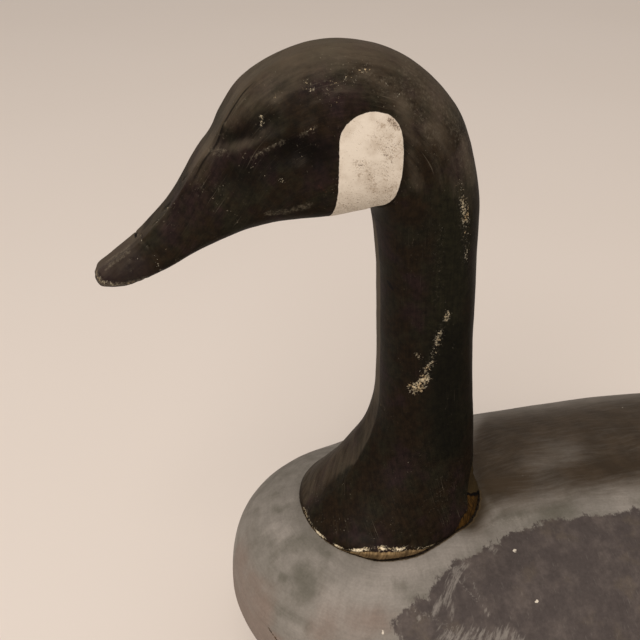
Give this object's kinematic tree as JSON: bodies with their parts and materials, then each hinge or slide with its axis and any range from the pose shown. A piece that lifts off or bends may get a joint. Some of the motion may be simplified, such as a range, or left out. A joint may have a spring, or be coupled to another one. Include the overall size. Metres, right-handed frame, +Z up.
{
  "type": "goose decoy",
  "caption": "Carved and painted wooden goose decoy: flat-bottomed grey body, tall black neck with a bent head, white cheek patch and tapering bill, worn and chipped.",
  "frame": {"origin": "on the flat underside, under the middle of the whole decoy's box", "axes": "+Z up, the goose faces -Y, its left side is +X"},
  "size_m": [0.244, 0.6562, 0.4093],
  "materials": {
    "body_paint": "brushed matt grey paint over wood, with darker back paint, scuffs and chips",
    "head_paint": "satin black paint over wood, with a white cheek patch, and chips to the primer and bare wood"
  },
  "bodies": {
    "root": {"body": "body_paint", "head_and_neck": "head_paint"}
  },
  "joints": []
}
